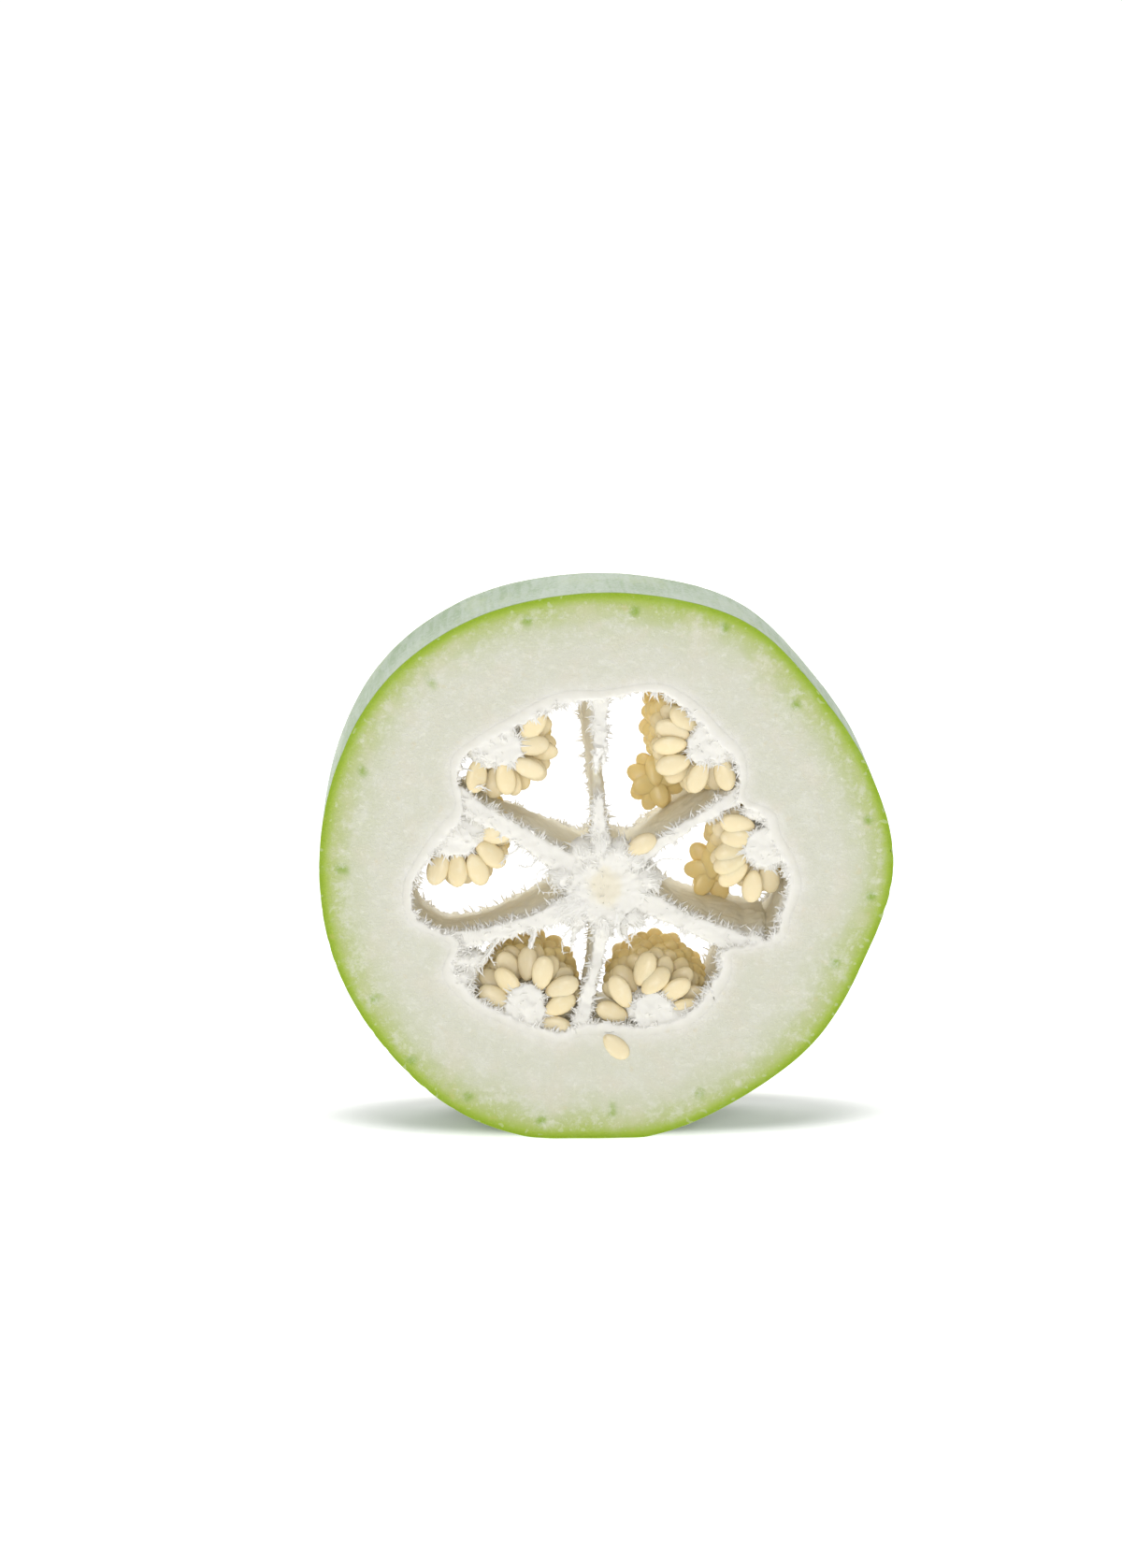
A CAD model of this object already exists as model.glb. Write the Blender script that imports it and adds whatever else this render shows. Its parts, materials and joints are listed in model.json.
"""A round slice of winter melon standing on its rind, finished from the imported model.

The rind and flesh are one turned ring. The torn pulp of the core, septa, lobes and chamber wall is
grained in three depths, and fibres, threads and seeds are set on it. Metres, with +Z up; the front
cut faces -Y.
"""

import json
import math
import random

import bmesh
import bpy
import numpy as np
from bpy.props import FloatProperty, FloatVectorProperty, IntProperty, PointerProperty
from mathutils import Matrix, Vector, noise
from mathutils.bvhtree import BVHTree

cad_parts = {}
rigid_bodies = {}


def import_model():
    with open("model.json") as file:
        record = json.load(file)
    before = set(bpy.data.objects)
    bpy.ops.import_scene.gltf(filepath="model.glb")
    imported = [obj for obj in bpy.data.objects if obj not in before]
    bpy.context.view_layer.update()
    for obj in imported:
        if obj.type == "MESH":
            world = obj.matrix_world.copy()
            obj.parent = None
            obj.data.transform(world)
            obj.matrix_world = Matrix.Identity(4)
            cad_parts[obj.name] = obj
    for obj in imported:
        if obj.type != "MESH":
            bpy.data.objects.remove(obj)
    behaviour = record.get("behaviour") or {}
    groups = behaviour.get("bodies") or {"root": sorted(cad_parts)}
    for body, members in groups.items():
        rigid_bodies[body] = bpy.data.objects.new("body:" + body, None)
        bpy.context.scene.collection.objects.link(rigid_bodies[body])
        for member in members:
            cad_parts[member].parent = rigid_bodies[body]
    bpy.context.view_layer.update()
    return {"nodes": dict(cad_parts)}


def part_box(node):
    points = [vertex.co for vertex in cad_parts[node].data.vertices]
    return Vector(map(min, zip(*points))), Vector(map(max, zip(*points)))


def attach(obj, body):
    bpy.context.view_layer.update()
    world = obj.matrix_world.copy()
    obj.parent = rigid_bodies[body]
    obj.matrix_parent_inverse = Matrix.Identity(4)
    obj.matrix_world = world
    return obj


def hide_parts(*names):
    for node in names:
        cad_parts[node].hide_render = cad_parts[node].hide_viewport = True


bl_info = {
    "name": "Winter melon slice",
    "version": (1, 0, 0),
    "blender": (4, 5, 0),
    "location": "View3D > Sidebar > Winter melon",
    "description": "Builds the rind, flesh, torn pulp and seeds of a winter melon slice",
    "category": "Add Mesh",
}

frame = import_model()
FLESH_LOW, FLESH_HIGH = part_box("flesh")
FRONT_Y = FLESH_LOW.y
BACK_Y = FLESH_HIGH.y
DEPTH = BACK_Y - FRONT_Y
MM = 0.001

# Noise vectors are drawn from this state, the same in every run
NOISE_SEED = 7
noise.seed_set(NOISE_SEED)

# The slice's pattern, as the solids have it
MIDDLE = Vector(((FLESH_LOW.x + FLESH_HIGH.x) / 2, FLESH_HIGH.z / 2))
CORE = Vector((-0.5 * MM, 81.1 * MM))
BACK_TWIST = math.radians(3.0)
CHAMBER_MM = (
    (0, 58.1), (8, 56.9), (17, 54.1), (24, 54.6), (33, 49.0), (38, 53.0), (45, 57.3), (54, 58.6),
    (67, 62.7), (75, 63.7), (90, 59.6), (103, 60.5), (118, 58.7), (130, 59.6), (139, 60.2),
    (145, 55.8), (151, 50.6), (158, 52.2), (170, 56.5), (179, 60.1), (190, 59.0), (200, 49.0),
    (208, 55.0), (222, 53.8), (232, 51.3), (245, 49.6), (255, 48.7), (260, 45.2), (270, 44.2),
    (286, 46.4), (302, 48.6), (316, 46.7), (325, 45.0), (332, 42.6), (342, 54.5), (351, 55.8),
)
LOBES_MM = {
    "top_left": ((-39, 132), (-28.0, 122.0), (48, -104)),
    "top_right": ((39, 134), (26.5, 122.0), (146, 284)),
    "right": ((58, 95.5), (43.6, 92.2), (138, 282)),
    "bottom_right": ((16.5, 34.5), (12.7, 46.6), (158, 10)),
    "bottom_left": ((-27.5, 34.5), (-24.6, 49.6), (150, 2)),
    "left": ((-56, 100.5), (-41.0, 95.2), (18, -112)),
}
LOBE_HALF_WIDTH = 0.0062
# Depths of the first and last row of seeds behind the front one
FIRST_DEEP_ROW = 6.8 * MM
LAST_DEEP_ROW = DEPTH - 2.8 * MM

# The seeds of the row at the front cut: centre (x, z) in millimetres and the way the tip points
FRONT_SEEDS = {
    "top_left": ((-23.2, 132.0, 52), (-23.4, 126.0, 2), (-24.6, 119.0, -28),
                 (-31.6, 115.6, -78), (-40.6, 116.6, -104)),
    "top_right": ((24.2, 134.0, 148), (20.4, 130.4, 162), (19.6, 125.8, 184),
                  (20.6, 119.6, 196), (28.4, 115.6, 252), (36.6, 116.6, 284)),
    "right": ((40.8, 100.6, 168), (41.0, 96.2, 178), (39.0, 92.0, 196), (38.6, 88.4, 205),
              (39.6, 84.6, 218), (45.6, 80.6, 262)),
    "bottom_right": ((1.6, 40.2, 158), (4.2, 47.2, 116), (11.8, 54.2, 72), (15.2, 50.6, 44),
                     (21.4, 47.6, 34), (24.4, 41.4, 6)),
    "bottom_left": ((-35.4, 45.6, 152), (-31.0, 50.2, 128), (-20.4, 53.4, 78),
                    (-14.2, 48.6, 22), (-14.8, 43.0, 28), (-16.6, 36.0, -6)),
    "left": ((-35.4, 97.6, 6), (-36.4, 91.4, -38), (-40.6, 86.8, -70), (-46.8, 86.6, -92),
             (-52.8, 87.0, -112)),
}
# Bunches that hang at the back: middle (x, y, z) in millimetres and the number of seeds
BUNCHES_MM = {
    "top_right": ((16.5, 14.5, 108.5), 13),
    "right": ((34.5, 13.5, 79.5), 9),
}
BUNCH_RADIUS_MM = 5.6
BACK_CLEARANCE = 2.8 * MM
# The two loose seeds: middle (x, z) and depth in millimetres, and the way the tip points
SEED_ON_FACE = ((2.7, 29.9), 0.2, -45)
SEED_BY_CORE = ((10.6, 94.4), 1.2, 32)

# Longer torn threads of pulp at the front: points (x, z) in millimetres and the root's radius
THREADS_MM = (
    (((-22.5, 71.0), (-22.4, 67.0), (-24.2, 61.2)), 1.0),
    (((-33.0, 68.5), (-35.2, 62.6), (-40.0, 56.6)), 0.6),
    (((-30.5, 68.2), (-36.8, 60.2), (-35.0, 56.0)), 0.35),
    (((-8.2, 73.0), (-10.4, 66.8), (-11.2, 60.2)), 0.9),
    (((-9.8, 70.0), (-14.0, 64.0), (-13.6, 59.0)), 0.35),
    (((3.2, 72.0), (3.8, 66.2), (7.2, 62.2)), 0.9),
    (((4.6, 70.0), (8.6, 67.6), (7.4, 65.0)), 0.35),
    (((-12.4, 86.0), (-19.0, 85.6), (-17.0, 80.6), (-11.8, 82.0)), 0.35),
    (((-13.0, 87.6), (-21.4, 86.0), (-20.6, 79.4), (-12.0, 80.2)), 0.3),
    (((12.0, 86.4), (17.6, 90.0), (23.4, 89.4)), 0.35),
    (((-20.0, 91.6), (-24.6, 87.6), (-28.2, 88.6)), 0.4),
    (((-25.5, 94.8), (-31.0, 91.0), (-33.2, 88.4)), 0.4),
    (((-43.0, 111.5), (-40.0, 113.6), (-36.6, 112.2)), 0.45),
    (((-2.2, 126.0), (-3.4, 121.4), (-3.0, 117.8)), 1.5),
    (((-1.0, 127.0), (-0.8, 122.6), (-1.8, 119.0)), 1.1),
)


def linear(red, green, blue):
    """A colour as Blender's shaders want it, from 0-255 values as on a screen."""
    return tuple(((c / 255 + 0.055) / 1.055) ** 2.4 for c in (red, green, blue))


def size_setting(name, description, millimetres):
    """A size that a user can change, given in millimetres."""
    return FloatProperty(name=name, description=description, default=millimetres * MM,
                         subtype="DISTANCE")


def colour_setting(name, description, red, green, blue):
    """A colour that a user can change, given in 0-255 values as on a screen."""
    return FloatVectorProperty(name=name, description=description, subtype="COLOR",
                               default=linear(red, green, blue))


class MelonSizes(bpy.types.PropertyGroup):
    """Sizes that can be changed before the slice is built."""

    seed_length: size_setting("Seed length", "Length of one seed", 11.2)
    seed_width: size_setting("Seed width", "Width of one seed", 7.5)
    seed_thickness: size_setting("Seed thickness", "Thickness of one seed", 3.0)
    seed_rows: IntProperty(
        name="Seed rows", description="Rows of seeds through a cluster's depth", default=8)
    pulp_grain: size_setting("Pulp grain", "Size of the torn pulp's smallest facets", 0.495)
    wall_grain: size_setting(
        "Wall grain", "Size of the smallest facets of the walls further in", 0.90)
    back_grain: size_setting("Back grain", "Size of the smallest facets at the back cut", 0.62)
    pulp_relief: size_setting("Pulp relief", "Depth of the pulp's tears and lumps", 1.0)
    fibre_length: size_setting("Fibre length", "Longest torn fibre at the cut", 3.0)
    edge_band: size_setting("Green band", "Width of the green under the rind", 1.9)


class MelonColours(bpy.types.PropertyGroup):
    """Colours that can be changed before the slice is built."""

    flesh_white: colour_setting("Flesh", "Cut flesh towards the seeds", 212, 212, 195)
    flesh_mid: colour_setting("Middle flesh", "Cut flesh half-way", 200, 204, 172)
    flesh_green: colour_setting("Outer flesh", "Cut flesh near the rind", 180, 192, 120)
    lime: colour_setting("Lime", "Green just inside the edge", 162, 185, 66)
    edge_green: colour_setting("Cut edge", "Green line under the rind", 142, 172, 18)
    vein_green: colour_setting("Vein", "Cut veins in the outer flesh", 138, 168, 52)
    rind_green: colour_setting("Rind", "Green of the rind", 157, 187, 132)
    rind_light: colour_setting("Rind patches", "Yellow-green patches of the rind", 198, 216, 156)
    bloom: colour_setting("Bloom", "Pale wax on the rind", 222, 233, 217)
    pulp_white: colour_setting("Torn pulp", "Torn pulp at the cut", 237, 235, 228)
    pulp_deep: colour_setting("Deep pulp", "Pulp inside the seed spaces", 252, 246, 228)
    core_cream: colour_setting("Core", "Middle of the core", 233, 226, 204)
    seed_cream: colour_setting("Seed", "Seeds at the cut", 236, 221, 182)
    seed_amber: colour_setting("Deep seed", "Seeds inside the seed spaces", 253, 228, 160)


class Value:
    """A socket in a shader expression, with arithmetic that adds Math nodes."""

    def __init__(self, finish, socket):
        self.finish = finish
        self.socket = socket

    def math(self, operation, *others):
        return self.finish.add("ShaderNodeMath", {"operation": operation},
                               dict(enumerate((self, *others))))

    def __add__(self, other):
        return self.math("ADD", other)

    __radd__ = __add__

    def __sub__(self, other):
        return self.math("SUBTRACT", other)

    def __rsub__(self, other):
        return self.finish.add("ShaderNodeMath", {"operation": "SUBTRACT"}, {0: other, 1: self})

    def __mul__(self, other):
        return self.math("MULTIPLY", other)

    __rmul__ = __mul__

    def __truediv__(self, other):
        return self.math("DIVIDE", other)

    def __pow__(self, other):
        return self.math("POWER", other)


class Finish:
    """A material that is put together from expressions."""

    def __init__(self, name):
        self.material = bpy.data.materials.new(name)
        self.material.use_nodes = True
        self.nodes = self.material.node_tree.nodes
        self.links = self.material.node_tree.links
        self.shader = self.nodes["Principled BSDF"]

    def add(self, kind, settings=None, sockets=None, output=0):
        """Add a node with its settings and its sockets' values or links; gives its output."""
        node = self.nodes.new(kind)
        for key, value in (settings or {}).items():
            setattr(node, key, value)
        for key, value in (sockets or {}).items():
            if isinstance(value, Value):
                self.links.new(value.socket, node.inputs[key])
            else:
                node.inputs[key].default_value = value
        return Value(self, node.outputs[output])

    def place(self, stretch=(1, 1, 1)):
        """The point's place on the object, stretched for patterns that are longer one way."""
        place = self.add("ShaderNodeTexCoord", output="Object")
        return self.add("ShaderNodeMapping", sockets={"Vector": place, "Scale": stretch})

    def axis(self, name):
        place = self.add("ShaderNodeTexCoord", output="Object")
        return self.add("ShaderNodeSeparateXYZ", sockets={0: place}, output=name)

    def attribute(self, name):
        return self.add("ShaderNodeAttribute", {"attribute_name": name}, output="Fac")

    def grain(self, size, stretch=(1, 1, 1), detail=3.0, rough=0.55):
        """Noise whose lumps are about that size in metres."""
        return self.add("ShaderNodeTexNoise", sockets={
            "Vector": self.place(stretch), "Scale": 1 / size, "Detail": detail,
            "Roughness": rough})

    def ease(self, value, low, high):
        """0 at low and 1 at high, smooth between; low may be the greater."""
        return self.add("ShaderNodeMapRange", {"interpolation_type": "SMOOTHSTEP"},
                        {"Value": value, "From Min": low, "From Max": high})

    def fade(self, value, low, high):
        """0 at low and 1 at high, straight between."""
        return self.add("ShaderNodeMapRange", None,
                        {"Value": value, "From Min": low, "From Max": high})

    def mix(self, share, first, second):
        """Colour between two colours."""
        def filled(colour):
            return colour if isinstance(colour, Value) else (*colour, 1.0)
        return self.add("ShaderNodeMix", {"data_type": "RGBA"},
                        {0: share, 6: filled(first), 7: filled(second)}, output=2)

    def bump(self, height, distance, strength):
        return self.add("ShaderNodeBump", sockets={
            "Height": height, "Distance": distance, "Strength": strength})

    def set(self, **values):
        """Set or link the shader's own sockets, named with _ for spaces."""
        for key, value in values.items():
            socket = self.shader.inputs[key.replace("_", " ")]
            if isinstance(value, Value):
                self.links.new(value.socket, socket)
            else:
                socket.default_value = value
        return self.material


def smooth_loop(points, angles):
    """Values at angles in degrees of a smooth closed curve through (angle, value) points."""
    known = np.array([a for a, _ in points], float)
    values = np.array([v for _, v in points], float)
    known = np.concatenate((known - 360, known, known + 360))
    values = np.tile(values, 3)
    slopes = (np.roll(values, -1) - np.roll(values, 1)) / (np.roll(known, -1) - np.roll(known, 1))
    angles = np.asarray(angles, float) % 360
    upper = np.searchsorted(known, angles, side="right")
    lower = upper - 1
    span = known[upper] - known[lower]
    t = (angles - known[lower]) / span
    return ((2 * t**3 - 3 * t**2 + 1) * values[lower] + (t**3 - 2 * t**2 + t) * slopes[lower] * span
            + (3 * t**2 - 2 * t**3) * values[upper] + (t**3 - t**2) * slopes[upper] * span)


def grown(x, y, z):
    """Where points of the front cut's pattern have moved to at a depth: it turns a little."""
    turn = BACK_TWIST * (y - FRONT_Y) / DEPTH
    dx = x - CORE.x
    dz = z - CORE.y
    return (CORE.x + dx * np.cos(turn) - dz * np.sin(turn), y,
            CORE.y + dx * np.sin(turn) + dz * np.cos(turn))


def chamber_radius(angles):
    return smooth_loop(CHAMBER_MM, angles) * MM


def smoothstep(value, low, high):
    t = np.clip((value - low) / (high - low), 0, 1)
    return t * t * (3 - 2 * t)


def deselect():
    for obj in bpy.context.selected_objects:
        obj.select_set(False)
    bpy.context.view_layer.objects.active = None


def apply_modifier(obj, kind, name, **settings):
    modifier = obj.modifiers.new(name, kind)
    for key, value in settings.items():
        setattr(modifier, key, value)
    bpy.context.view_layer.objects.active = obj
    bpy.ops.object.modifier_apply(modifier=name)


def points_of(obj):
    points = np.empty(len(obj.data.vertices) * 3)
    obj.data.vertices.foreach_get("co", points)
    return points.reshape(-1, 3)


def set_points(obj, points):
    obj.data.vertices.foreach_set("co", np.ascontiguousarray(points, dtype=np.float32).ravel())
    obj.data.update()


def normals_of(obj):
    normals = np.empty(len(obj.data.vertices) * 3)
    obj.data.vertex_normals.foreach_get("vector", normals)
    return normals.reshape(-1, 3)


def point_values(obj, name, values):
    layer = obj.data.attributes.new(name, "FLOAT", "POINT")
    layer.data.foreach_set("value", np.asarray(values, np.float32))


def new_object(name, mesh):
    obj = bpy.data.objects.new(name, mesh)
    bpy.context.scene.collection.objects.link(obj)
    return obj


def outward(obj):
    """Turn all of a closed mesh's faces outwards."""
    bm = bmesh.new()
    bm.from_mesh(obj.data)
    bmesh.ops.recalc_face_normals(bm, faces=bm.faces)
    bm.to_mesh(obj.data)
    bm.free()


def finished(obj, name, materials, nodes=()):
    """Name a piece, give it its materials, and tie it to the frame."""
    obj.name = name
    obj.data.name = name
    obj.data.materials.clear()
    for material in materials:
        obj.data.materials.append(material)
    obj.data.shade_smooth()
    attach(obj, "root")
    if nodes:
        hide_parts(*nodes)
    deselect()


def face_colour(finish, colours, sizes):
    """Cut face: green at the rind, paler inwards, with veins, faint spots, white at the pulp."""
    width = sizes.edge_band
    rim = finish.attribute("rim")
    wander = 0.8 * (finish.grain(0.026, detail=2.0) - 0.5) + 0.5 * (finish.grain(0.006) - 0.5)
    depth = rim * (1 + wander * finish.ease(rim, 0.0, 0.006)) / width
    colour = finish.mix(finish.fade(depth, 0.35, 1.1), colours.edge_green, colours.lime)
    colour = finish.mix(finish.fade(depth, 1.0, 2.2), colour, colours.flesh_green)
    colour = finish.mix(finish.fade(depth, 2.0, 5.5), colour, colours.flesh_mid)
    colour = finish.mix(finish.fade(depth, 4.5, 9.5), colour, colours.flesh_white)
    patch = finish.grain(0.024, detail=2.0)
    chamber = finish.attribute("chamber") + 0.005 * (patch - 0.5)
    colour = finish.mix(finish.ease(chamber, 0.010, 0.002), colour, linear(220, 218, 205))
    colour = finish.mix(0.92 * finish.attribute("vein"), colour, colours.vein_green)
    spots = finish.ease(finish.grain(0.0042, detail=1.0), 0.66, 0.78)
    colour = finish.mix(0.20 * spots, colour, linear(214, 190, 130))
    inner = 0.08 + 0.92 * finish.ease(rim, 0.0014, 0.0050)
    cloud = finish.grain(0.0048, detail=6.0, rough=0.72)
    colour = finish.mix(0.50 * inner * finish.ease(cloud, 0.47, 0.66), colour, linear(222, 222, 210))
    warmth = finish.ease(finish.grain(0.011, detail=4.0), 0.48, 0.68)
    colour = finish.mix(0.30 * warmth * inner, colour, linear(220, 212, 194))
    fine = finish.grain(0.0010, detail=4.0, rough=0.7)
    colour = finish.mix(0.30 * inner * finish.ease(fine, 0.54, 0.72), colour, linear(238, 238, 230))
    fluff = finish.attribute("chamber") + 0.009 * (finish.grain(0.0036, detail=4.0) - 0.5)
    return finish.mix(0.70 * finish.ease(fluff, 0.0070, -0.0004), colour, colours.pulp_white), fine


def flesh_finish(colours, sizes):
    """Cut flesh with a fine wet grain."""
    finish = Finish("cut_flesh")
    colour, fine = face_colour(finish, colours, sizes)
    specks = finish.ease(finish.grain(0.0019, detail=0.0), 0.70, 0.78)
    colour = finish.mix(0.20 * specks, colour, linear(242, 241, 230))
    height = 0.8 * fine + 0.5 * finish.grain(0.0045)
    return finish.set(
        Base_Color=colour, Roughness=0.42 - 0.24 * specks + 0.15 * fine,
        Normal=finish.bump(height, 0.0005, 0.7), Subsurface_Weight=0.12,
        Subsurface_Radius=(1.0, 1.0, 0.6), Subsurface_Scale=0.0016, IOR=1.38)


def rind_finish(colours):
    """Waxy rind: fine green grain under a pale bloom, with lighter patches along the melon."""
    finish = Finish("waxy_rind")
    patches = finish.ease(finish.grain(0.016, (1.0, 0.55, 1.0), detail=4.0), 0.50, 0.66)
    grain = finish.grain(0.0011, (1.0, 0.6, 1.0), detail=3.0, rough=0.7)
    wide = finish.grain(0.030, (1.0, 0.8, 1.0), detail=3.0)
    colour = finish.mix(0.75 * patches, colours.rind_green, colours.rind_light)
    bloom = finish.ease(0.55 * grain + 0.45 * wide, 0.40, 0.60)
    colour = finish.mix(0.30 + 0.52 * bloom, colour, colours.bloom)
    scuffs = finish.ease(finish.grain(0.0035, (0.35, 1.6, 0.35), detail=5.0, rough=0.65), 0.62, 0.72)
    colour = finish.mix(0.35 * scuffs, colour, linear(214, 226, 222))
    streaks = finish.ease(finish.grain(0.0024, (1.0, 0.09, 1.0), detail=5.0), 0.44, 0.64)
    colour = finish.mix(0.40 * streaks, colour, linear(228, 238, 226))
    edge = 1 - finish.ease(finish.attribute("rim_depth"), 0.0002, 0.0011)
    colour = finish.mix(0.85 * edge, colour, colours.edge_green)
    return finish.set(
        Base_Color=colour, Roughness=0.50 + 0.2 * bloom,
        Normal=finish.bump(grain + 0.6 * wide, 0.0002, 0.5), Subsurface_Weight=0.12,
        Subsurface_Radius=(0.003, 0.004, 0.002), Subsurface_Scale=0.4)


def pulp_finish(colours, sizes, name="torn_pulp", whiter=0.0, scatter=0.5):
    """Torn pulp: bright at both cuts, warm and soft-shaded inside, creamy in the core."""
    finish = Finish(name)
    y = finish.axis("Y") + 0.0022 * (finish.grain(0.005) - 0.5)
    inside = finish.ease(y, FRONT_Y + 0.0020, FRONT_Y + 0.012)
    inside = inside * (1 - 0.8 * finish.ease(y, BACK_Y - 0.006, BACK_Y - 0.001))
    colour = finish.mix(inside * (1 - whiter), colours.pulp_white, colours.pulp_deep)
    stain = finish.ease(finish.grain(0.007, detail=4.0), 0.50, 0.72)
    colour = finish.mix(0.16 * stain * inside, colour, linear(232, 212, 164))
    x = finish.axis("X") - CORE.x
    z = (finish.axis("Z") - CORE.y) * 0.8
    radius = (x * x + z * z) ** 0.5
    heart = 1 - finish.ease(radius + 0.005 * (finish.grain(0.004) - 0.5), 0.0030, 0.0068)
    colour = finish.mix(0.8 * heart, colour, colours.core_cream)
    colour = finish.mix(0.8 * whiter, colour, linear(250, 249, 245))
    face, fine = face_colour(finish, colours, sizes)
    colour = finish.mix(finish.attribute("band"), colour, face)
    fibre = finish.grain(0.0022, (1.0, 0.35, 1.0), detail=3.0, rough=0.6)
    return finish.set(
        Base_Color=colour, Roughness=0.60 + 0.2 * fine,
        Normal=finish.bump(0.4 * fine + fibre, 0.0002, 0.25), Subsurface_Weight=scatter,
        Subsurface_Radius=(1.0, 1.0, 0.9), Subsurface_Scale=0.0012, IOR=1.3)


def seed_finish(colours):
    """Moist seeds: cream at the cut, amber deeper in, each a little different."""
    finish = Finish("moist_seed")
    y = finish.axis("Y")
    inside = finish.ease(y, FRONT_Y + 0.0045, FRONT_Y + 0.0240)
    inside = inside * (1 - 0.5 * finish.ease(y, BACK_Y - 0.006, BACK_Y - 0.001))
    tone = finish.attribute("tone")
    colour = finish.mix(inside + 0.30 * (tone - 0.35), colours.seed_cream, colours.seed_amber)
    rim = finish.attribute("rim")
    colour = finish.mix(0.14 * finish.ease(rim, 0.72, 1.0), colour, linear(216, 186, 120))
    root = finish.ease(finish.attribute("root"), 0.60, 1.0)
    colour = finish.mix(0.22 * root, colour, linear(220, 188, 124))
    pale = finish.ease(finish.grain(0.0025, detail=3.0), 0.50, 0.75)
    colour = finish.mix(0.22 * pale, colour, linear(250, 244, 224))
    fine = finish.grain(0.0009, detail=3.0)
    return finish.set(
        Base_Color=colour, Roughness=0.33 + 0.15 * fine,
        Normal=finish.bump(fine + finish.grain(0.003), 0.0002, 0.35), Subsurface_Weight=0.3,
        Subsurface_Radius=(1.0, 0.9, 0.7), Subsurface_Scale=0.0012, Coat_Weight=0.25,
        Coat_Roughness=0.2)


def floor_finish():
    """White table lit from below, as a photographer's light table is, darker under the slice."""
    finish = Finish("white_table")
    x, y = finish.axis("X"), finish.axis("Y")
    behind = y - 0.011
    foot = (x * x / 0.0072 + behind * behind / 0.0007) ** 0.5
    away = (x * x + y * y) ** 0.5
    glow = finish.ease(foot, 0.80, 1.38) * (1 - 0.10 * finish.ease(away, 0.05, 0.35))
    return finish.set(Base_Color=(0.93, 0.93, 0.93, 1.0), Roughness=0.25,
                      Specular_IOR_Level=0.3, Emission_Strength=0.76,
                      Emission_Color=finish.mix(glow, (0, 0, 0), (1, 1, 1)))


# The ring's sides and rows: distances from the rind on a cut, shares of what is left up to the
# chamber, rows through the depth, and depths of the rows at the corners
RING_SIDES = 640
FACE_NEAR_RIM_MM = (0.12, 0.4, 0.8, 1.3, 1.9, 2.6, 3.5, 4.6, 6.0, 8.0, 10.5, 13.5)
FACE_REST = (0.2, 0.4, 0.6, 0.75, 0.86, 0.93, 0.97, 1.0)
SIDE_ROWS = 37
CORNER_MM = (0.10, 0.38)
# How far outside the chamber's outline the pulp ends and the ring starts, unevenly
PULP_MARGIN = 0.0052
RING_INNER_MARGIN = 0.0021
MARGIN_CHANGE = 0.9 * MM
# How deep the cut edge is chipped and the surfaces are uneven
CHIP_DEPTH = 1.1 * MM
COARSE_CUT_RELIEF = 0.10 * MM
FINE_CUT_RELIEF = 0.05 * MM
RIND_RELIEF = 0.16 * MM
# Cut veins in the outer flesh: x and z
VEINS_MM = (
    (-24.7, 165.5), (8.6, 168.5), (36.3, 163.2), (58.5, 138.7), (81.3, 102.0), (82.8, 77.8),
    (71.4, 56.3), (29.3, 14.5), (1.6, 9.1), (-20.9, 5.9), (-44.0, 13.9), (-61.8, 25.9),
    (-73.2, 45.9), (-83.1, 87.6), (-75.8, 118.7), (-55.1, 147.4),
)


def rind_radii(count):
    """The rind's radius about the slice's middle, at the front and the back, from the solids."""
    mesh = frame["nodes"]["flesh"].data
    bm = bmesh.new()
    bm.from_mesh(mesh)
    tree = BVHTree.FromBMesh(bm)
    bm.free()
    far = 0.3
    angles = np.arange(count) * 2 * math.pi / count
    rings = []
    for y in (FRONT_Y + 0.5 * MM, BACK_Y - 0.5 * MM):
        radii = np.empty(count)
        for i, angle in enumerate(angles):
            away = Vector((math.cos(angle), 0, math.sin(angle)))
            start = Vector((MIDDLE.x, y, MIDDLE.y)) + away * far
            radii[i] = far - tree.ray_cast(start, -away)[3]
        reach = np.arange(-6, 7)
        weights = np.exp(-(reach / 3.0) ** 2)
        soft = sum(w * np.roll(radii, r) for w, r in zip(weights, reach)) / weights.sum()
        rings.append(np.minimum(soft, radii + 0.02 * MM))
    return angles, rings[0], rings[1]


def noise_row(points, size, seed=0.0):
    """Noise of that lump size at each point; the seed shifts the pattern."""
    shift = Vector((seed, 2 * seed, 3 * seed))
    return np.array([noise.noise(Vector(p) / size + shift) for p in points])


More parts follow.
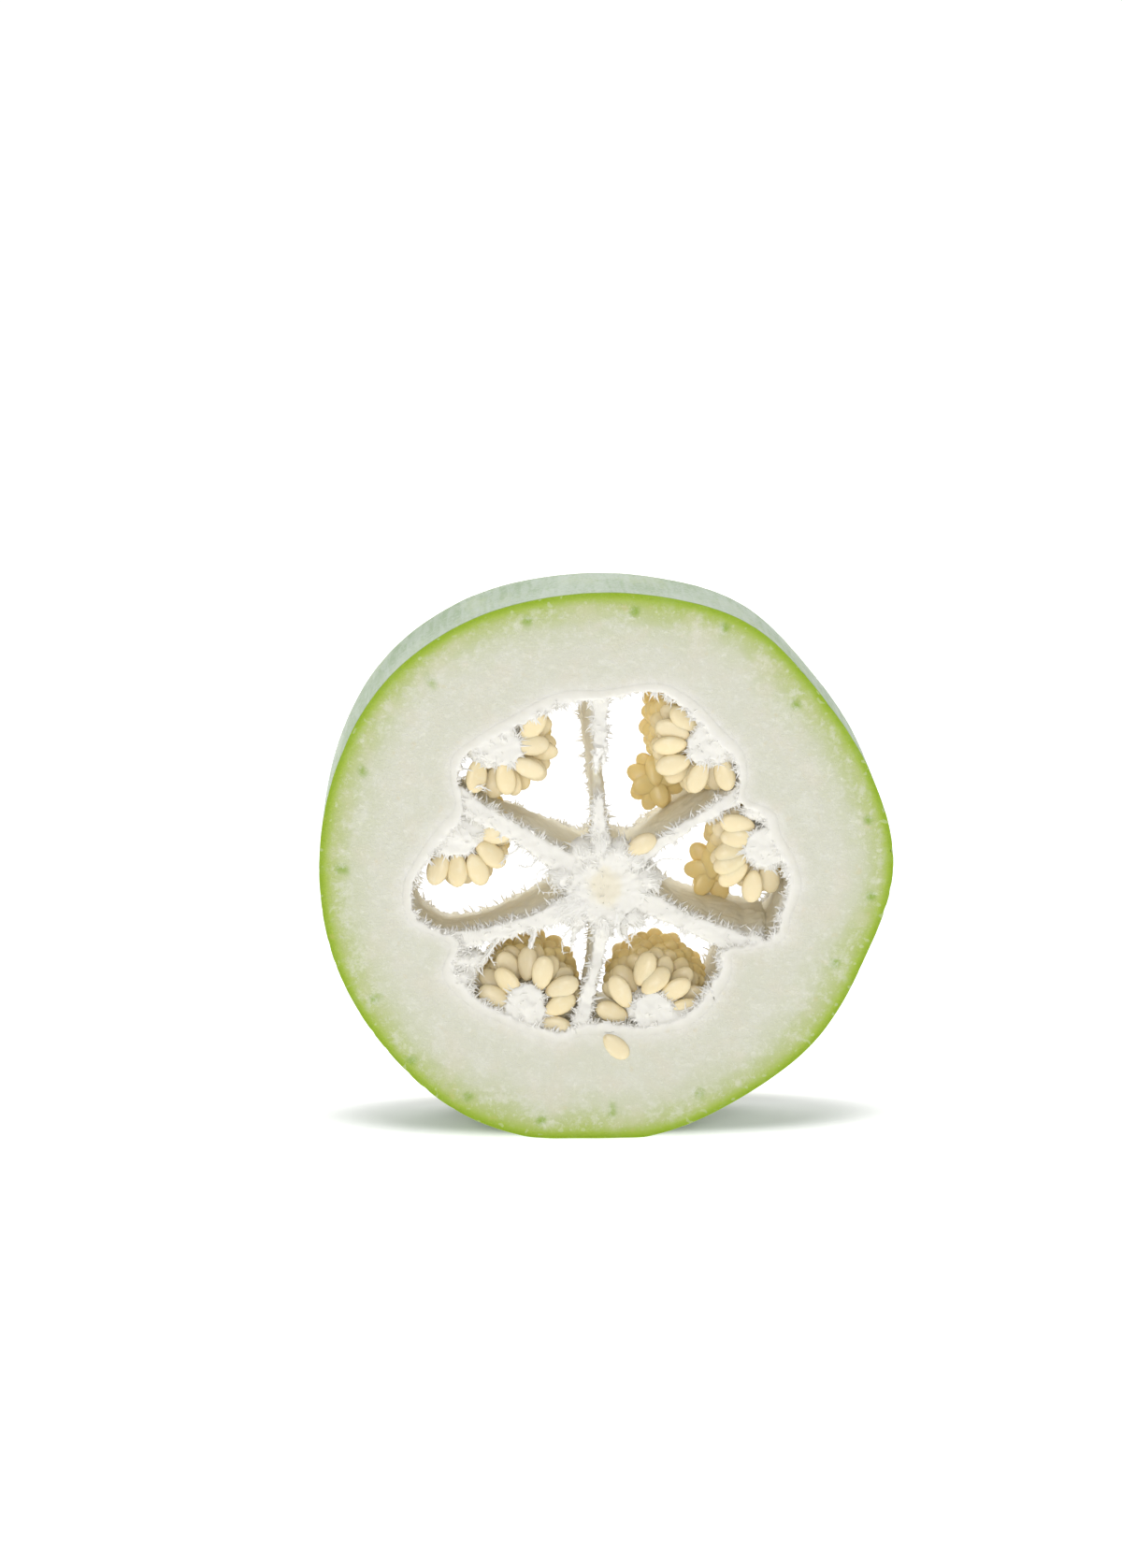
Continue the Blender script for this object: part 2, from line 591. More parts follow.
class MELON_OT_flesh(bpy.types.Operator):
    """Builds the rind and the smooth outer flesh as one ring"""

    bl_idname = "melon.flesh"
    bl_label = "Rind and flesh"

    def execute(self, context):
        sizes, colours = context.scene.melon_sizes, context.scene.melon_colours
        angles, front, back = rind_radii(RING_SIDES)
        rows = self.rows()
        chips = noise_row([(a * 9, 0, 0) for a in angles], 0.35, 5.0)
        chips = np.clip(chips - 0.12, 0, 1) * CHIP_DEPTH
        chips *= smoothstep(np.sin(angles * 2 + 0.7), -0.4, 0.8)
        around = [(math.cos(a), math.sin(a), 0) for a in angles]
        margin = RING_INNER_MARGIN + MARGIN_CHANGE * noise_row(around, 0.045, 2.0)
        points, rim = self.laid_out(rows, angles, (front, back), chips, margin)
        from_chamber = -chamber_inset(points)[0]
        beyond = from_chamber - np.repeat(margin, len(rows))
        self.roughen(points, rim > 0.3 * MM, beyond)
        ring = self.turned(len(rows))
        set_points(ring, points)
        outward(ring)
        point_values(ring, "rim", rim)
        point_values(ring, "rim_depth", np.minimum(points[:, 1] - FRONT_Y, BACK_Y - points[:, 1]))
        point_values(ring, "vein", self.veins(points))
        point_values(ring, "chamber", from_chamber)
        finished(ring, "rind_and_flesh",
                 (flesh_finish(colours, sizes), rind_finish(colours)), ("flesh",))
        side = rim < 0.2 * MM + np.repeat(chips, len(rows))
        for face in ring.data.polygons:
            face.material_index = int(all(side[v] for v in face.vertices))
        return {"FINISHED"}

    def turned(self, count):
        """A ring turned from a loop of points, which get their places afterwards."""
        deselect()
        bpy.ops.mesh.primitive_circle_add(vertices=count, radius=0.01, location=(0.08, 0, 0))
        ring = bpy.context.object
        bpy.ops.object.transform_apply(location=True, rotation=True, scale=True)
        apply_modifier(ring, "SCREW", "turned", axis="Y", steps=RING_SIDES,
                       render_steps=RING_SIDES)
        return ring

    def laid_out(self, rows, angles, rind, chips, margin):
        """The ring's points, angle by angle and row by row, and their distances from the rind."""
        points = np.empty((RING_SIDES, len(rows), 3))
        rim = np.empty((RING_SIDES, len(rows)))
        front, back = rind
        last = FACE_NEAR_RIM_MM[-1] * MM
        inner_radius = chamber_radius(np.degrees(angles)) + margin
        for j, (y, inward, share) in enumerate(rows):
            outer_radius = front + (back - front) * (y - FRONT_Y) / DEPTH
            outer_x = MIDDLE.x + outer_radius * np.cos(angles)
            outer_z = MIDDLE.y + outer_radius * np.sin(angles)
            inner_x, _, inner_z = grown(CORE.x + inner_radius * np.cos(angles), y,
                                        CORE.y + inner_radius * np.sin(angles))
            run = np.hypot(inner_x - outer_x, inner_z - outer_z)
            fixed = inward * MM
            if inward == 0.0:
                fixed = chips * (1 - smoothstep(min(y - FRONT_Y, BACK_Y - y) / MM, 0.0, 0.7))
            elif inward < 0.5 and share == 0.0:
                fixed = inward * MM + chips
            distance = np.minimum(fixed + share * (run - last), run)
            points[:, j, 0] = outer_x + (inner_x - outer_x) * distance / run
            points[:, j, 1] = y
            points[:, j, 2] = outer_z + (inner_z - outer_z) * distance / run
            rim[:, j] = distance
        return points.reshape(-1, 3), rim.reshape(-1)

    def roughen(self, points, on_face, beyond):
        """Fine relief of the cuts, less near the chamber, and soft lumps of the rind."""
        relief = COARSE_CUT_RELIEF * (0.5 + 0.5 * noise_row(points, 0.007))
        relief += FINE_CUT_RELIEF * (0.5 + 0.5 * noise_row(points, 0.0016, 3.0))
        relief *= 0.4 + 0.6 * smoothstep(beyond, 0.5 * MM, 5 * MM)
        middle_y = (FRONT_Y + BACK_Y) / 2
        points[on_face, 1] -= (np.sign(points[:, 1] - middle_y) * relief)[on_face]
        from_middle = points[:, (0, 2)] - np.array(MIDDLE)
        lumps = RIND_RELIEF * (0.5 + 0.5 * noise_row(points, 0.006, 7.0))
        shrink = 1 - np.where(on_face, 0, lumps / np.linalg.norm(from_middle, axis=1))
        points[:, (0, 2)] = np.array(MIDDLE) + from_middle * shrink[:, None]
        points[:, 2] = np.maximum(points[:, 2], 0.0)

    def rows(self):
        """Rows round the ring's section: depth, distance from the rind, share of the rest."""
        face = [(mm, 0.0) for mm in FACE_NEAR_RIM_MM]
        face += [(FACE_NEAR_RIM_MM[-1], share) for share in FACE_REST]
        rows = [(FRONT_Y, mm, share) for mm, share in reversed(face)]
        side = [FRONT_Y + mm * MM for mm in CORNER_MM]
        side += list(np.linspace(FRONT_Y + MM, BACK_Y - MM, SIDE_ROWS))
        side += [BACK_Y - mm * MM for mm in reversed(CORNER_MM)]
        rows += [(y, 0.0, 0.0) for y in side]
        rows += [(BACK_Y, mm, share) for mm, share in face]
        inner = FACE_NEAR_RIM_MM[-1]
        rows += [(y, inner, 1.0) for y in np.linspace(BACK_Y, FRONT_Y, 5)[1:-1]]
        return rows

    def veins(self, points):
        """How green each point is from the cut veins, small dots that fade outwards."""
        amount = np.zeros(len(points))
        for x, z in VEINS_MM:
            centre = np.array(grown(x * MM, points[:, 1], z * MM)[0::2])
            away = np.hypot(points[:, 0] - centre[0], points[:, 2] - centre[1])
            amount = np.maximum(amount, 1 - smoothstep(away, 0.5 * MM, 2.4 * MM))
        return amount


# Soft masses of pulp round the lobes and the core at the front: x, z, half width, half height
MASSES_MM = (
    (-38.0, 127.6, 9.0, 5.8), (-36.6, 123.6, 7.0, 4.6), (-30.5, 134.4, 5.4, 3.6),
    (-45.6, 98.0, 8.4, 6.6), (33.4, 126.0, 8.6, 7.6), (50.0, 92.8, 8.2, 7.2),
    (13.2, 41.4, 7.2, 6.2), (23.0, 38.4, 7.0, 3.8), (-25.4, 42.4, 6.2, 6.6),
    (-34.0, 38.8, 5.6, 3.8), (-2.2, 94.0, 3.4, 8.0), (-1.4, 69.0, 2.8, 6.0),
    (-7.0, 92.0, 4.6, 4.6), (4.0, 92.4, 3.8, 3.8), (-14.0, 84.6, 4.4, 4.4),
    (12.6, 83.4, 4.6, 4.2), (8.4, 71.0, 3.8, 3.4), (-9.6, 71.4, 4.2, 3.4),
    (-45.6, 57.6, 8.0, 3.4), (42.6, 57.2, 8.4, 4.4), (47.4, 104.4, 5.6, 3.2),
    (-46.4, 52.0, 5.6, 4.4),
)
MASS_DEPTH = 5.3 * MM
MASS_HALF_DEPTH = 5.0 * MM
# Sizes of the pulp's lumps, waves, spikes and fine tears
LUMP_SIZE = 3.8 * MM
WAVE_SIZE = 2.0 * MM
SPIKE_SIZE = 1.5 * MM
TEAR_SIZE = 1.1 * MM
# The pulp's parts: name, depths it starts and ends at in millimetres, and the size of its grain
PULP_PARTS = (
    ("torn_pulp", -2.0, 7.6, "pulp_grain"),
    ("pulp_walls", 6.2, 39.6, "wall_grain"),
    ("back_pulp", 38.2, 46.0, "back_grain"),
)


def chamber_inset(points):
    """How far inside the chamber's outline the points are, and their distance from the core."""
    angle = np.degrees(np.arctan2(points[:, 2] - CORE.y, points[:, 0] - CORE.x))
    turn = np.degrees(BACK_TWIST) * (points[:, 1] - FRONT_Y) / DEPTH
    radius = np.hypot(points[:, 2] - CORE.y, points[:, 0] - CORE.x)
    return chamber_radius(angle - turn) - radius, radius


class MELON_OT_pulp(bpy.types.Operator):
    """Builds the torn pulp of the core, septa, lobes and chamber wall"""

    bl_idname = "melon.pulp"
    bl_label = "Torn pulp"

    def execute(self, context):
        sizes, colours = context.scene.melon_sizes, context.scene.melon_colours
        finish = pulp_finish(colours, sizes)
        for name, low, high, grain in PULP_PARTS:
            pulp = self.cut_from_solid(low * MM, high * MM, MASSES_MM if low < 0 else ())
            apply_modifier(pulp, "REMESH", "grain", mode="VOXEL",
                           voxel_size=getattr(sizes, grain))
            self.tear(pulp, sizes.pulp_relief)
            finished(pulp, name, (finish,), ("flesh",))
        return {"FINISHED"}

    def tear(self, pulp, relief):
        """Lumps everywhere inside the chamber, with tears and spikes near both cuts."""
        points, normals = points_of(pulp), normals_of(pulp)
        inside, radius = chamber_inset(points)
        torn = smoothstep(inside, -2.4 * MM, 0.4 * MM)
        flare = smoothstep(radius, 26 * MM, 11 * MM) * smoothstep(radius, 6 * MM, 10 * MM)
        edge = np.minimum(points[:, 1] - FRONT_Y, BACK_Y - points[:, 1])
        moves = np.zeros_like(points)
        for i, (place, normal) in enumerate(zip(points, normals)):
            if torn[i] < 0.01:
                continue
            spot = Vector(place)
            near_cut = math.exp(-max(edge[i], 0.0) / (2.8 * MM))
            lump = noise.fractal(spot / LUMP_SIZE, 0.9, 2.1, 3)
            side = near_cut * (1 - 0.85 * abs(normal[1]))
            push = 0.55 * lump + near_cut * (0.25 + 0.9 * flare[i])
            drift = noise.noise_vector(spot / WAVE_SIZE) * (0.2 + 0.8 * side)
            if near_cut > 0.05:
                peak = max(0.0, noise.noise(spot / SPIKE_SIZE) - 0.05)
                push += side * 3.2 * peak ** 1.3
                drift += noise.noise_vector(spot / TEAR_SIZE) * 0.18 * side
            out = Vector((normal[0], normal[1] * 0.25, normal[2])) * push
            moves[i] = (out + drift) * relief * torn[i]
        points += moves
        sunk = 0.30 * MM * (1 - smoothstep(inside, -4.4 * MM, -2.9 * MM))
        proud = 0.1 * MM * torn + 0.45 * MM * smoothstep(inside, 1.0 * MM, 5.0 * MM)
        points[:, 1] = np.clip(points[:, 1], FRONT_Y + sunk - proud, BACK_Y - sunk)
        set_points(pulp, points)
        point_values(pulp, "band", 1 - torn)
        point_values(pulp, "chamber", -inside)
        point_values(pulp, "rim", np.full(len(points), 30 * MM))

    def cut_from_solid(self, low, high, masses):
        """The solid's inner part between two depths: core, septa, lobes and chamber wall."""
        mesh = frame["nodes"]["flesh"].data.copy()
        bm = bmesh.new()
        bm.from_mesh(mesh)
        bmesh.ops.remove_doubles(bm, verts=bm.verts, dist=0.00001)
        bm.to_mesh(mesh)
        bm.free()
        mesh.materials.clear()
        pulp = new_object("pulp", mesh)
        deselect()
        bpy.ops.mesh.primitive_cylinder_add(vertices=180, radius=1.0, depth=high - low,
                                            rotation=(math.pi / 2, 0, 0))
        cutter = bpy.context.object
        bpy.ops.object.transform_apply(location=True, rotation=True, scale=True)
        points = points_of(cutter)
        angle = np.arctan2(points[:, 2], points[:, 0])
        radius = chamber_radius(np.degrees(angle)) + PULP_MARGIN
        x, y, z = grown(CORE.x + radius * np.cos(angle), points[:, 1] + FRONT_Y + (low + high) / 2,
                        CORE.y + radius * np.sin(angle))
        set_points(cutter, np.stack((x, y, z), axis=1))
        apply_modifier(pulp, "BOOLEAN", "inner_part", operation="INTERSECT", object=cutter,
                       solver="EXACT")
        bpy.data.objects.remove(cutter, do_unlink=True)
        added = []
        for x, z, wide, tall in masses:
            deselect()
            bpy.ops.mesh.primitive_uv_sphere_add(
                segments=24, ring_count=16, location=(x * MM, FRONT_Y + MASS_DEPTH, z * MM),
                scale=(wide * MM, MASS_HALF_DEPTH, tall * MM))
            bpy.ops.object.transform_apply(location=True, rotation=True, scale=True)
            added.append(bpy.context.object)
        if added:
            for mass in (*added, pulp):
                mass.select_set(True)
            bpy.context.view_layer.objects.active = pulp
            bpy.ops.object.join()
        return pulp


class MELON_OT_fibres(bpy.types.Operator):
    """Sets torn fibres on the pulp's edges and hangs longer threads at the front"""

    bl_idname = "melon.fibres"
    bl_label = "Torn fibres"

    front_count = 4800
    back_count = 1500
    star_count = 450

    def execute(self, context):
        sizes, colours = context.scene.melon_sizes, context.scene.melon_colours
        draw = random.Random(21)
        verts, faces = [], []
        for name, count in (("torn_pulp", self.front_count), ("back_pulp", self.back_count)):
            pulp = bpy.data.objects[name]
            points, normals = points_of(pulp), normals_of(pulp)
            for index in self.choose(points, normals, count):
                root, normal = Vector(points[index]), Vector(normals[index])
                self.add_flake(verts, faces, root, normal, sizes.fibre_length, draw)
        pulp = bpy.data.objects["torn_pulp"]
        self.add_star(verts, faces, points_of(pulp), sizes.fibre_length, draw)
        for route, radius in THREADS_MM:
            self.add_thread(verts, faces, route, radius * MM, draw)
        mesh = bpy.data.meshes.new("torn_fibres")
        mesh.from_pydata(verts, [], faces)
        fibres = new_object("fibres", mesh)
        points = points_of(fibres)
        points[:, 1] = np.clip(points[:, 1], FRONT_Y - 0.8 * MM, BACK_Y - 0.02 * MM)
        set_points(fibres, points)
        outward(fibres)
        point_values(fibres, "band", np.zeros(len(points)))
        finish = pulp_finish(colours, sizes, "fibre_pulp", 0.6, 0.0)
        finished(fibres, "torn_fibres", (finish,))
        fibres.data.shade_flat()
        return {"FINISHED"}

    def choose(self, points, normals, count):
        """Points near the cut on the sides of the seed spaces, in clumps."""
        edge = np.minimum(points[:, 1] - FRONT_Y, BACK_Y - points[:, 1])
        inside, _ = chamber_inset(points)
        clump = noise_row(points, 0.0026, 9.0)
        chance = (np.exp(-np.maximum(edge, 0) / (1.4 * MM)) + 0.01) * smoothstep(clump, -0.35, 0.3)
        chance *= smoothstep(inside, -0.8 * MM, 0.4 * MM) * (1.02 - np.abs(normals[:, 1]))
        generator = np.random.default_rng(5)
        return generator.choice(len(points), count, replace=False, p=chance / chance.sum())

    def add_flake(self, verts, faces, root, normal, longest, draw):
        """A small flat torn flake that tapers from a broad base."""
        sway = noise.noise_vector(root / (2.4 * MM))
        jitter = Vector((draw.uniform(-1, 1), draw.uniform(-1, 1), draw.uniform(-1, 1)))
        aim = normal + 0.9 * sway + 0.5 * jitter
        aim.y *= 0.35
        aim.normalize()
        length = longest * (0.22 + 0.78 * draw.random() ** 2.4)
        width = draw.uniform(0.22, 0.44) * MM * (0.75 + 0.5 * length / longest)
        bend = Vector((draw.uniform(-1, 1), draw.uniform(-0.4, 0.4), draw.uniform(-1.0, 0.6)))
        route = [root - aim * 0.35 * MM]
        for step in (1, 2, 3):
            share = step / 3
            route.append(root + aim * length * share + bend * length * 0.4 * share**2)
        add_tube(verts, faces, route, (width, width * 0.85, width * 0.5, width * 0.08), 3, 0.5)

    def add_star(self, verts, faces, points, longest, draw):
        """Torn fibres that lie outwards from the core on the cut, none on the core's heart."""
        _, radius = chamber_inset(points)
        near = np.flatnonzero((radius < 19 * MM) & (points[:, 1] < FRONT_Y + 0.6 * MM))
        for _ in range(self.star_count):
            root = Vector(points[near[draw.randrange(len(near))]])
            away = Vector((root.x - CORE.x, 0, root.z - CORE.y))
            if away.length < 8.0 * MM:
                continue
            aim = away.normalized() + 0.5 * noise.noise_vector(root / (3.0 * MM))
            aim.y = -0.10 + 0.12 * draw.random()
            aim.normalize()
            length = longest * draw.uniform(0.35, 1.0)
            width = draw.uniform(0.16, 0.34) * MM
            bend = Vector((draw.uniform(-1, 1), 0.3, draw.uniform(-1, 1))) * 0.25 * length
            route = [root + aim * length * s / 3 + bend * (s / 3) ** 2 for s in range(4)]
            add_tube(verts, faces, route, (width, width, width * 0.6, width * 0.1), 3, 0.6)

    def add_thread(self, verts, faces, route, radius, draw):
        """A torn thread along hand-set points, uneven and frayed along its length."""
        y = FRONT_Y + draw.uniform(0.8, 2.4) * MM
        points = [Vector((x * MM, y + draw.uniform(-0.6, 0.8) * MM, z * MM)) for x, z in route]
        smooth = smooth_route(points, 14)
        radii = []
        for i, place in enumerate(smooth):
            t = i / (len(smooth) - 1)
            rough = 1 + 0.5 * noise.noise(place / (0.9 * MM))
            radii.append(radius * (1 - 0.72 * t) * rough)
        jagged = [p + noise.noise_vector(p / (1.3 * MM)) * radius * 0.7 for p in smooth]
        add_tube(verts, faces, jagged, radii, 7)
        for _ in range(int(16 + 14 * radius / MM)):
            i = draw.randrange(1, len(jagged) - 1)
            ahead = (jagged[i + 1] - jagged[i - 1]).normalized()
            side = Vector((draw.uniform(-1, 1), draw.uniform(-0.5, 0.5), draw.uniform(-1, 1)))
            aim = (ahead * 0.7 + side).normalized()
            length = draw.uniform(0.6, 2.0) * MM
            bend = Vector((draw.uniform(-1, 1), 0, draw.uniform(-1, 0.4))) * 0.4 * length
            tips = [jagged[i] + aim * length * s / 3 + bend * (s / 3) ** 2 for s in range(4)]
            add_tube(verts, faces, tips, [0.22 * MM, 0.17 * MM, 0.1 * MM, 0.02 * MM], 3)


def smooth_route(points, count):
    """Points along a smooth curve through the given ones."""
    padded = [points[0] * 2 - points[1], *points, points[-1] * 2 - points[-2]]
    route = []
    spans = len(points) - 1
    for i in range(count):
        place = i / (count - 1) * spans
        k = min(int(place), spans - 1)
        t = place - k
        a, b, c, d = padded[k:k + 4]
        route.append(0.5 * (2 * b + (c - a) * t + (2 * a - 5 * b + 4 * c - d) * t * t
                            + (3 * b - a - 3 * c + d) * t**3))
    return route


def add_tube(verts, faces, route, radii, sides, flat=1.0):
    """Add a closed tapered tube along a route, flattened one way, to vertices and faces."""
    start = len(verts)
    for i, (place, radius) in enumerate(zip(route, radii)):
        ahead = route[min(i + 1, len(route) - 1)] - route[max(i - 1, 0)]
        side = ahead.orthogonal().normalized()
        up = ahead.cross(side).normalized()
        for s in range(sides):
            turn = 2 * math.pi * s / sides
            verts.append(place + side * radius * math.cos(turn)
                         + up * radius * flat * math.sin(turn))
    for i in range(len(route) - 1):
        for s in range(sides):
            a = start + i * sides + s
            b = start + i * sides + (s + 1) % sides
            faces.append((a, b, b + sides, a + sides))
    faces.append(tuple(start + s for s in reversed(range(sides))))
    last = start + (len(route) - 1) * sides
    faces.append(tuple(last + s for s in range(sides)))


class MELON_OT_seeds(bpy.types.Operator):
    """Places the seeds of each cluster, and the two loose ones"""

    bl_idname = "melon.seeds"
    bl_label = "Seeds"

    def execute(self, context):
        sizes, colours = context.scene.melon_sizes, context.scene.melon_colours
        finish = seed_finish(colours)
        self.sizes = sizes
        template = self.seed_template()
        for order, name in enumerate(LOBES_MM):
            draw = random.Random(100 + order)
            poses = self.front_row(name, draw) + self.deep_rows(name, draw)
            if name in BUNCHES_MM:
                poses += self.bunch(name, draw)
            self.build("seed_cluster_" + name, template, poses, draw, finish, "seeds_" + name)
        draw = random.Random(400)
        for name, spec in (("seed_on_face", SEED_ON_FACE), ("seed_by_core", SEED_BY_CORE)):
            (x, z), behind, turn = spec
            pose = seed_pose(Vector((x * MM, FRONT_Y + behind * MM, z * MM)), turn, 0, 0, 0.94)
            self.build("loose_" + name, template, [pose], draw, finish, name)
        bpy.data.objects.remove(template, do_unlink=True)
        return {"FINISHED"}

    def seed_template(self):
        """One seed: a flat oval along Z with its root at the bottom and a thin margin."""
        deselect()
        bpy.ops.mesh.primitive_uv_sphere_add(segments=16, ring_count=9, radius=1.0)
        seed = bpy.context.object
        points = points_of(seed)
        x, y, z = points.T
        around = np.hypot(x, z)
        narrow = 0.90 + 0.12 * z - 0.05 * z * z
        plump = np.sign(y) * np.abs(y) ** 0.85
        set_points(seed, np.stack((x * self.sizes.seed_width / 2 * narrow,
                                   plump * self.sizes.seed_thickness / 2 * (0.93 + 0.07 * z),
                                   z * self.sizes.seed_length / 2), axis=1))
        point_values(seed, "rim", around)
        point_values(seed, "root", np.clip(-z, 0, 1))
        return seed

    def front_row(self, name, draw):
        """Seeds of the row that shows at the front cut."""
        poses = []
        for x, z, direction in FRONT_SEEDS[name]:
            y = FRONT_Y + draw.uniform(1.9, 3.4) * MM
            centre = Vector((x * MM, y, z * MM))
            poses.append(seed_pose(
                centre, direction + draw.uniform(-4, 4), draw.uniform(-0.35, 0.35),
                draw.uniform(-0.18, 0.18), draw.uniform(0.96, 1.04)))
        return poses

    def deep_rows(self, name, draw):
        """Rows of seeds round a lobe, from behind the front row to the back cut."""
        root, tip, (first, last) = LOBES_MM[name]
        root, tip = Vector(root) * MM, Vector(tip) * MM
        centre, half, out = (root + tip) / 2, (tip - root).length / 2, (tip - root).normalized()
        side = Vector((-out.y, out.x))
        axis = math.degrees(math.atan2(out.y, out.x))
        limits = [math.radians((d - axis + 180) % 360 - 180) * 0.93 for d in (first, last)]
        poses = []
        rows = self.sizes.seed_rows
        for row in range(rows):
            y_row = FRONT_Y + FIRST_DEEP_ROW + (LAST_DEEP_ROW - FIRST_DEEP_ROW) * row / (rows - 1)
            count = 5 if row % 2 else 6
            for i in range(count):
                share = (i + 0.5) / count if row % 2 else i / (count - 1)
                turn = limits[0] + (limits[1] - limits[0]) * share + draw.uniform(-0.1, 0.1)
                along = half * math.cos(turn)
                across = LOBE_HALF_WIDTH * math.sin(turn)
                normal = (out * math.cos(turn) * LOBE_HALF_WIDTH
                          + side * math.sin(turn) * half).normalized()
                gap = self.sizes.seed_length / 2 + draw.uniform(-0.2, 0.9) * MM
                flat = centre + out * along + side * across + normal * gap
                y = y_row + draw.uniform(-0.7, 0.7) * MM
                direction = math.degrees(math.atan2(normal.y, normal.x)) + draw.uniform(-10, 10)
                x, y, z = grown(flat.x, y, flat.y)
                poses.append(seed_pose(Vector((x, y, z)), direction, draw.uniform(-0.4, 0.4),
                                       draw.uniform(-0.35, 0.2), draw.uniform(0.92, 1.03)))
        return poses

    def bunch(self, name, draw):
        """Seeds that hang together at the back, on a spiral round a middle."""
        centre, count = BUNCHES_MM[name]
        poses = []
        for i in range(count):
            around = i * 2.4 + draw.uniform(-0.3, 0.3)
            height = 1 - 2 * (i + 0.5) / count
            ring = math.sqrt(1 - height * height)
            out = Vector((math.cos(around) * ring, 0.5 * math.sin(around) * ring, height))
            direction = math.degrees(math.atan2(out.z, out.x))
            place = Vector(centre) * MM + Vector((out.x * 0.75, out.y, out.z)) * BUNCH_RADIUS_MM * MM
            place.y = min(place.y, BACK_Y - BACK_CLEARANCE)
            poses.append(seed_pose(place, direction, draw.uniform(-0.4, 0.4),
                                   draw.uniform(-0.3, 0.3), draw.uniform(0.9, 1.0)))
        return poses

    def build(self, name, template, poses, draw, finish, node):
        """Copy the seed to each pose, as one piece."""
        base = np.c_[points_of(template), np.ones(len(template.data.vertices))]
        polygons = [tuple(p.vertices) for p in template.data.polygons]
        size = len(base)
        points, faces, tones = [], [], []
        for i, pose in enumerate(poses):
            points.append((base @ np.array(pose).T)[:, :3])
            faces += [tuple(v + i * size for v in polygon) for polygon in polygons]
            tones += [draw.random()] * size
        mesh = bpy.data.meshes.new(name)
        points = np.concatenate(points)
        points[:, 1] = np.clip(points[:, 1], FRONT_Y - 1.0 * MM, BACK_Y - 0.05 * MM)
        mesh.from_pydata(points.tolist(), [], faces)
        obj = new_object(name, mesh)
        point_values(obj, "tone", tones)
        for key in ("rim", "root"):
            values = [d.value for d in template.data.attributes[key].data]
            point_values(obj, key, values * len(poses))
        finished(obj, name, (finish,), (node,))


def seed_pose(centre, direction, lean, dip, scale):
    """Pose of a seed whose tip points in a direction, in degrees, in the plane of the cut."""
    turn = (Matrix.Rotation(math.radians(90 - direction), 4, "Y")
            @ Matrix.Rotation(dip, 4, "X") @ Matrix.Rotation(lean, 4, "Z"))
    return Matrix.Translation(centre) @ turn @ Matrix.Scale(scale, 4)


# Area lights: name, place and size in metres, power in watts
LIGHTS = (
    ("key", (-0.30, -2.1, 0.62), 0.6, 10.5),
    ("fill", (1.4, -1.6, 0.30), 1.6, 1.2),
    ("top", (-0.1, 0.80, 1.6), 1.4, 14.0),
)
WORLD_LIGHT = 0.41
TABLE_SIZE = 60.0
TABLE_GAP = 0.02 * MM

# The camera, and the place of the slice's middle in the image, in pixels
CAMERA_DISTANCE = 1.5
CAMERA_HEIGHT_ANGLE = math.radians(12.0)
CAMERA_SIDE_ANGLE = math.radians(2.0)
CAMERA_LENS = 110.2
IMAGE_WIDTH = 1200
IMAGE_HEIGHT = 1677
SLICE_IN_IMAGE = (649.6, 929.0)
SENSOR = 36.0


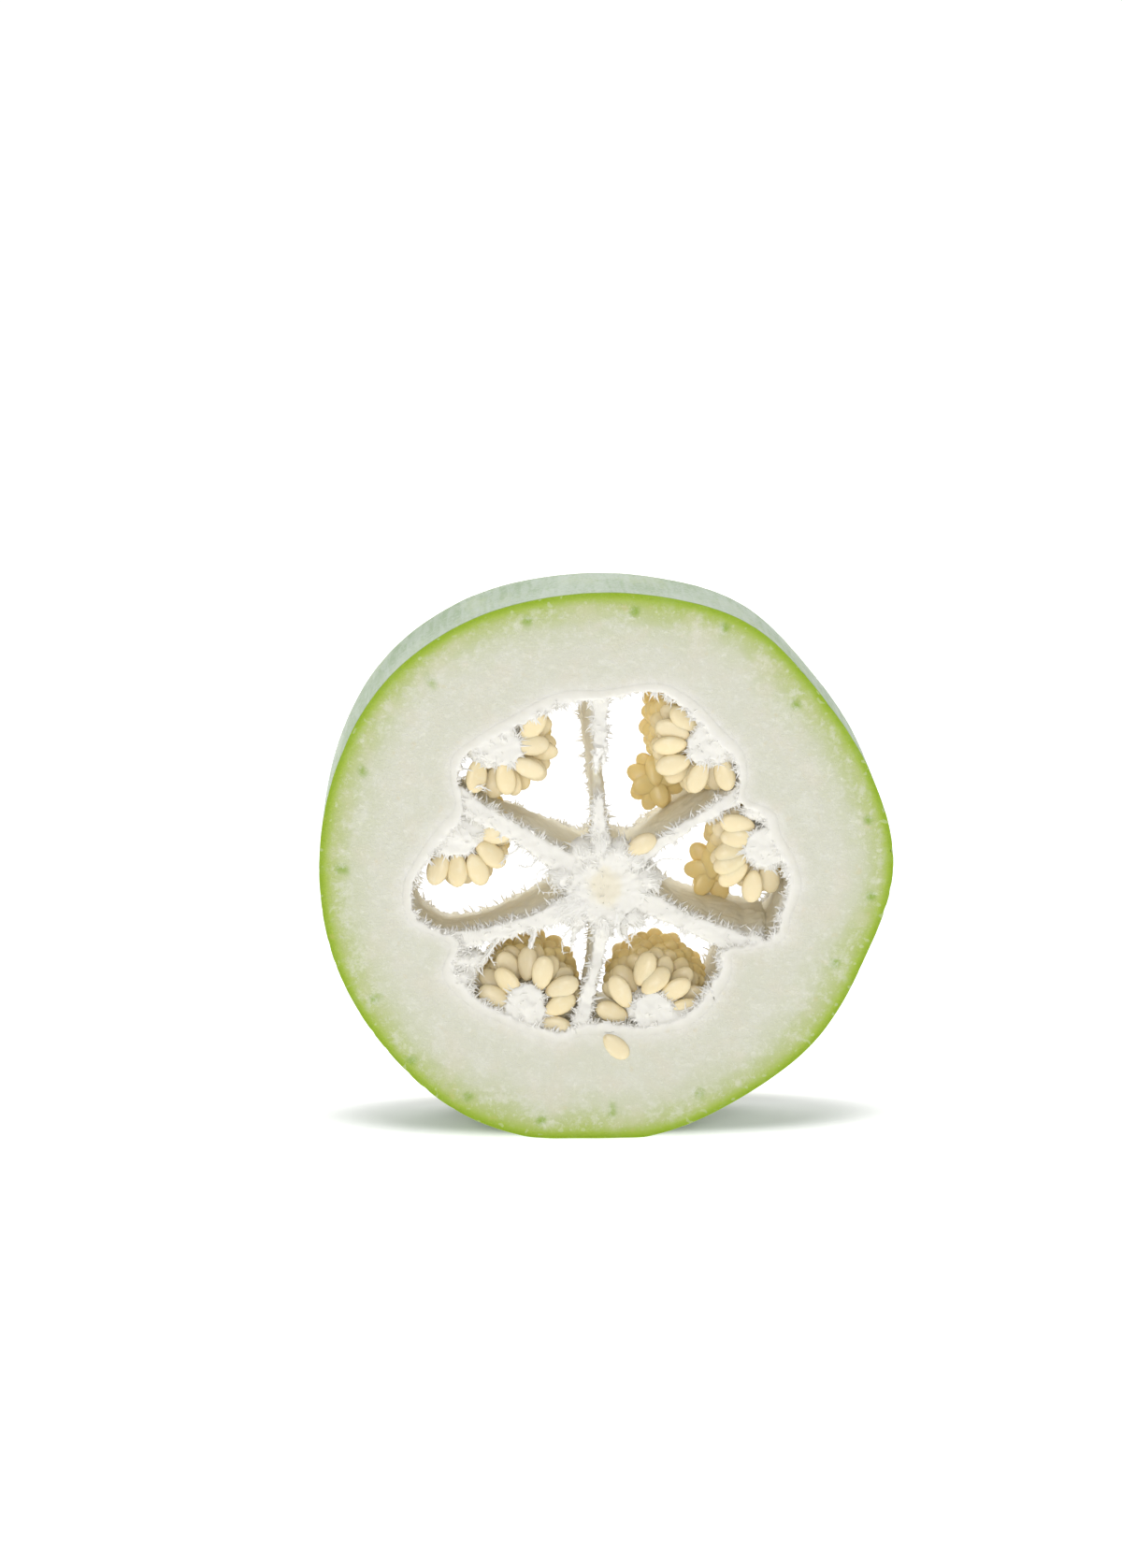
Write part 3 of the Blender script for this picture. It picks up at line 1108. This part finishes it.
class MELON_OT_stage(bpy.types.Operator):
    """Sets a white table, soft light and the camera"""

    bl_idname = "melon.stage"
    bl_label = "Stage"

    def execute(self, context):
        scene = context.scene
        deselect()
        bpy.ops.mesh.primitive_plane_add(size=TABLE_SIZE, location=(0, 0, -TABLE_GAP))
        table = bpy.context.object
        bpy.ops.object.transform_apply(location=True, rotation=True, scale=True)
        table.name = "table"
        table.data.materials.append(floor_finish())
        for name, place, size, power in LIGHTS:
            self.light(name, place, size, power)
        world = bpy.data.worlds.new("studio")
        world.use_nodes = True
        background = world.node_tree.nodes["Background"]
        background.inputs["Color"].default_value = (1.0, 1.0, 1.0, 1.0)
        background.inputs["Strength"].default_value = WORLD_LIGHT
        scene.world = world
        scene.view_settings.view_transform = "Standard"
        self.camera(scene)
        deselect()
        return {"FINISHED"}

    def light(self, name, place, size, power):
        deselect()
        bpy.ops.object.light_add(type="AREA", location=place)
        lamp = bpy.context.object
        lamp.name = name
        lamp.data.size = size
        lamp.data.energy = power
        aim = Vector((0, 0, MIDDLE.y)) - Vector(place)
        lamp.rotation_euler = aim.to_track_quat("-Z", "Y").to_euler()

    def camera(self, scene):
        """Look at the slice from the photograph's angle, with the slice at its place in it."""
        deselect()
        middle = Vector((0.0, FRONT_Y, MIDDLE.y))
        level = math.cos(CAMERA_HEIGHT_ANGLE)
        away = Vector((-math.sin(CAMERA_SIDE_ANGLE) * level, -math.cos(CAMERA_SIDE_ANGLE) * level,
                       math.sin(CAMERA_HEIGHT_ANGLE)))
        bpy.ops.object.camera_add(location=middle + away * CAMERA_DISTANCE)
        camera = bpy.context.object
        camera.rotation_euler = (-away).to_track_quat("-Z", "Y").to_euler()
        camera.data.lens = CAMERA_LENS
        camera.data.sensor_width = SENSOR
        camera.data.shift_x = (IMAGE_WIDTH / 2 - SLICE_IN_IMAGE[0]) / IMAGE_HEIGHT
        camera.data.shift_y = (SLICE_IN_IMAGE[1] - IMAGE_HEIGHT / 2) / IMAGE_HEIGHT
        scene.camera = camera


class MELON_PT_panel(bpy.types.Panel):
    """Lists the slice's pieces, sizes and colours in the sidebar"""

    bl_label = "Winter melon slice"
    bl_space_type = "VIEW_3D"
    bl_region_type = "UI"
    bl_category = "Winter melon"

    def draw(self, context):
        for operator in OPERATORS:
            self.layout.operator(operator.bl_idname)
        for group in (context.scene.melon_sizes, context.scene.melon_colours):
            box = self.layout.box()
            for name in group.__annotations__:
                box.prop(group, name)


OPERATORS = (MELON_OT_flesh, MELON_OT_pulp, MELON_OT_fibres, MELON_OT_seeds, MELON_OT_stage)
CLASSES = (MelonSizes, MelonColours, *OPERATORS, MELON_PT_panel)


def register():
    for cls in CLASSES:
        bpy.utils.register_class(cls)
    bpy.types.Scene.melon_sizes = PointerProperty(type=MelonSizes)
    bpy.types.Scene.melon_colours = PointerProperty(type=MelonColours)


def unregister():
    del bpy.types.Scene.melon_colours
    del bpy.types.Scene.melon_sizes
    for cls in reversed(CLASSES):
        bpy.utils.unregister_class(cls)


def main():
    register()
    bpy.ops.melon.flesh()
    bpy.ops.melon.pulp()
    bpy.ops.melon.fibres()
    bpy.ops.melon.seeds()
    bpy.ops.melon.stage()


if __name__ == "__main__":
    main()
